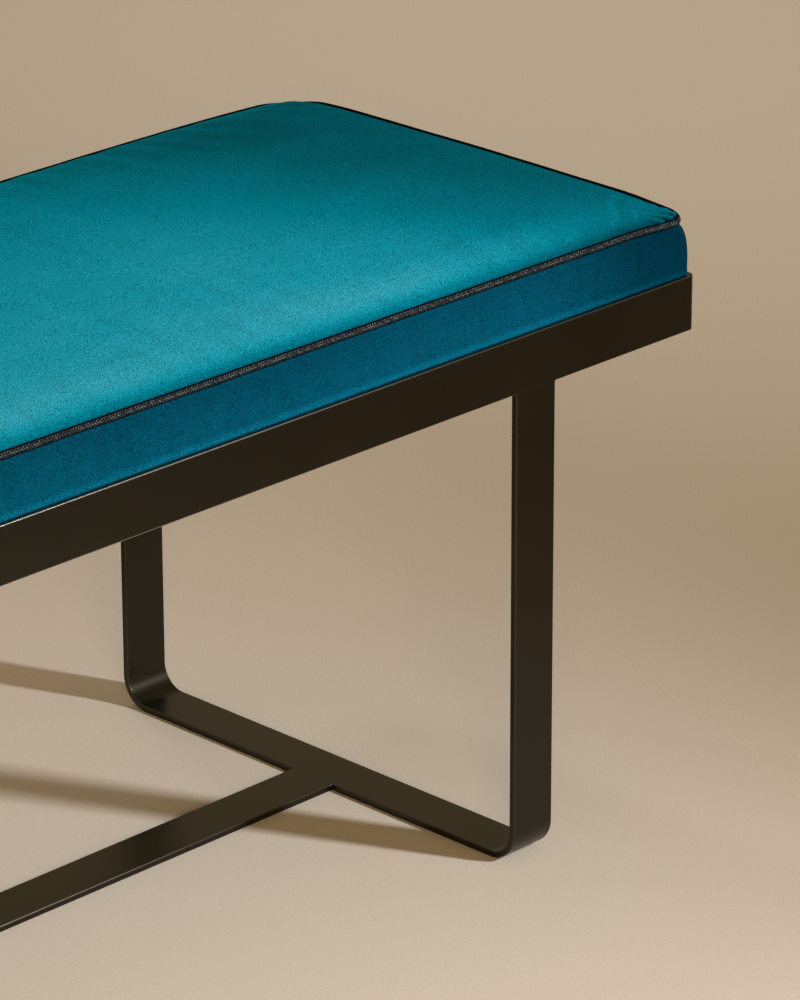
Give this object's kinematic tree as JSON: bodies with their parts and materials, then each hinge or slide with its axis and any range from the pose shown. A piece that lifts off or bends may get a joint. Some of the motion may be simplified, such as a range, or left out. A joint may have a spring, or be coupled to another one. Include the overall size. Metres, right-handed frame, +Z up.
{
  "type": "upholstered bench",
  "caption": "Long bench: a piped velvet seat pad dropped into a flat-bar steel tray, on two U-shaped legs bent from flat bar and joined by a flat stretcher along the floor.",
  "frame": {"origin": "on the floor, under the middle of the bench", "axes": "+X along the length, +Y towards the back, +Z up"},
  "size_m": [1.2, 0.42, 0.4717],
  "materials": {
    "black_steel": "satin black-bronze powder coat, fine orange peel, slightly worn bright along the outer edges",
    "velvet": "teal velvet with a short soft pile that is paler where it is brushed up",
    "braid": "dark grey and black braided cord with pale flecks",
    "wadding": "white polyester fibre",
    "foam": "cream open-cell foam",
    "plywood": "raw birch plywood",
    "under_cloth": "black spun-bonded cloth",
    "zinc": "bright zinc plate"
  },
  "bodies": {
    "root": {"front_rail": "black_steel", "back_rail": "black_steel", "left_end_rail": "black_steel", "right_end_rail": "black_steel", "left_leg_frame": "black_steel", "right_leg_frame": "black_steel", "floor_stretcher": "black_steel", "left_cross_bar": "black_steel", "middle_cross_bar": "black_steel", "right_cross_bar": "black_steel", "top_panel": "velvet", "border_band": "velvet", "piping_cord": "braid", "wadding": "wadding", "foam_core": "foam", "seat_board": "plywood", "under_cloth": "under_cloth", "seat_screw_1": "zinc", "seat_screw_2": "zinc", "seat_screw_3": "zinc", "seat_screw_4": "zinc", "seat_screw_5": "zinc", "seat_screw_6": "zinc", "washer_1": "zinc", "washer_2": "zinc", "washer_3": "zinc", "washer_4": "zinc", "washer_5": "zinc", "washer_6": "zinc", "tee_nut_1": "zinc", "tee_nut_2": "zinc", "tee_nut_3": "zinc", "tee_nut_4": "zinc", "tee_nut_5": "zinc", "tee_nut_6": "zinc"}
  },
  "joints": []
}
